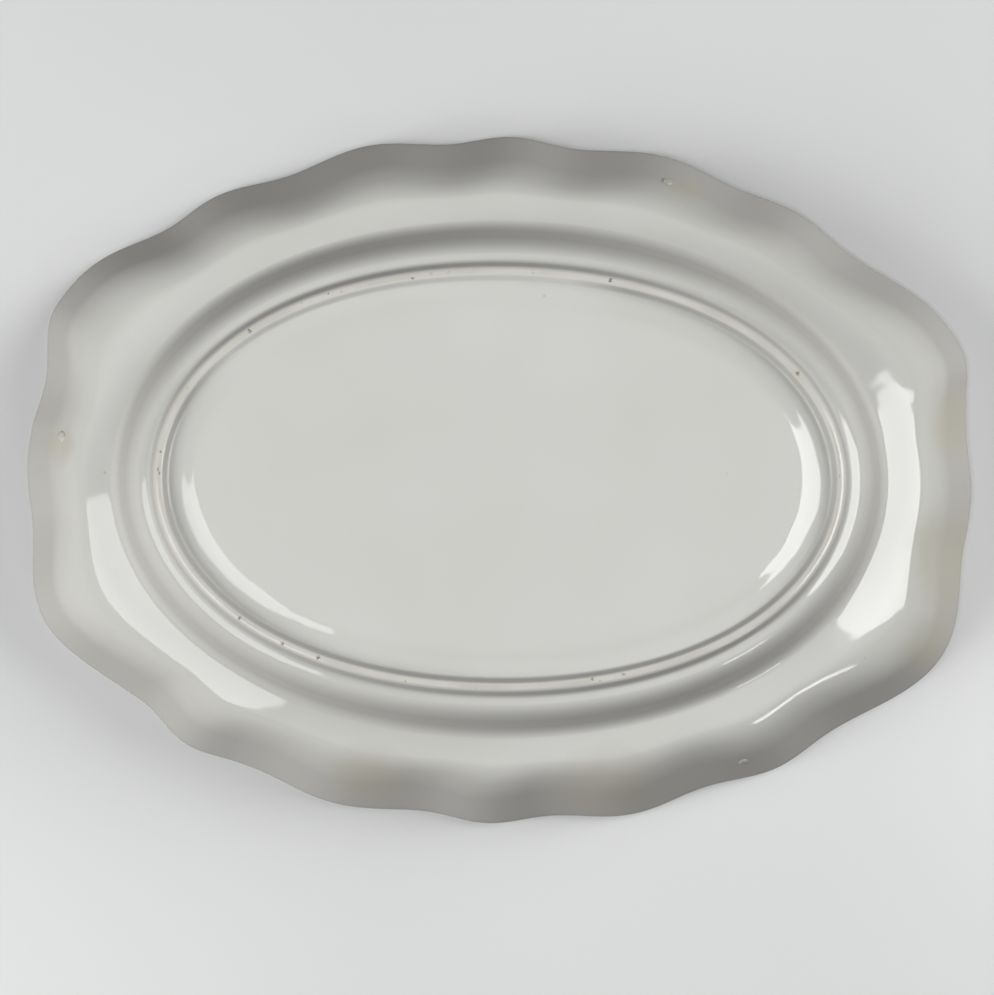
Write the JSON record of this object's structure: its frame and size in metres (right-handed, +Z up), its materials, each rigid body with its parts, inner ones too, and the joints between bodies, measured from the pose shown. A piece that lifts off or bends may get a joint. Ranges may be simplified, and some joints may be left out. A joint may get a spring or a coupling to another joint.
{
  "type": "oval serving platter",
  "caption": "Oval serving platter of glazed earthenware with a scalloped lip, wide rim, shallow well and bare foot ring, lying face down.",
  "frame": {"origin": "on the surface that the platter lies on, under the middle of the oval; the platter is stored face down on its lip, as it is shown, and is turned over about +X for use", "axes": "+Z up, out of the underside; +X along the length; +Y across the width"},
  "size_m": [0.37, 0.269, 0.046],
  "materials": {
    "bare_earthenware": "matt fired clay, worn",
    "clear_glaze": "glossy off-white glaze",
    "kiln_grit": "rough off-white stub, glazed over"
  },
  "bodies": {
    "root": {"earthenware_body": "bare_earthenware", "underside_glaze": "clear_glaze", "base_glaze": "clear_glaze", "face_glaze": "clear_glaze", "pin_scar_end": "kiln_grit", "pin_scar_upper": "kiln_grit", "pin_scar_lower": "kiln_grit"}
  },
  "joints": []
}
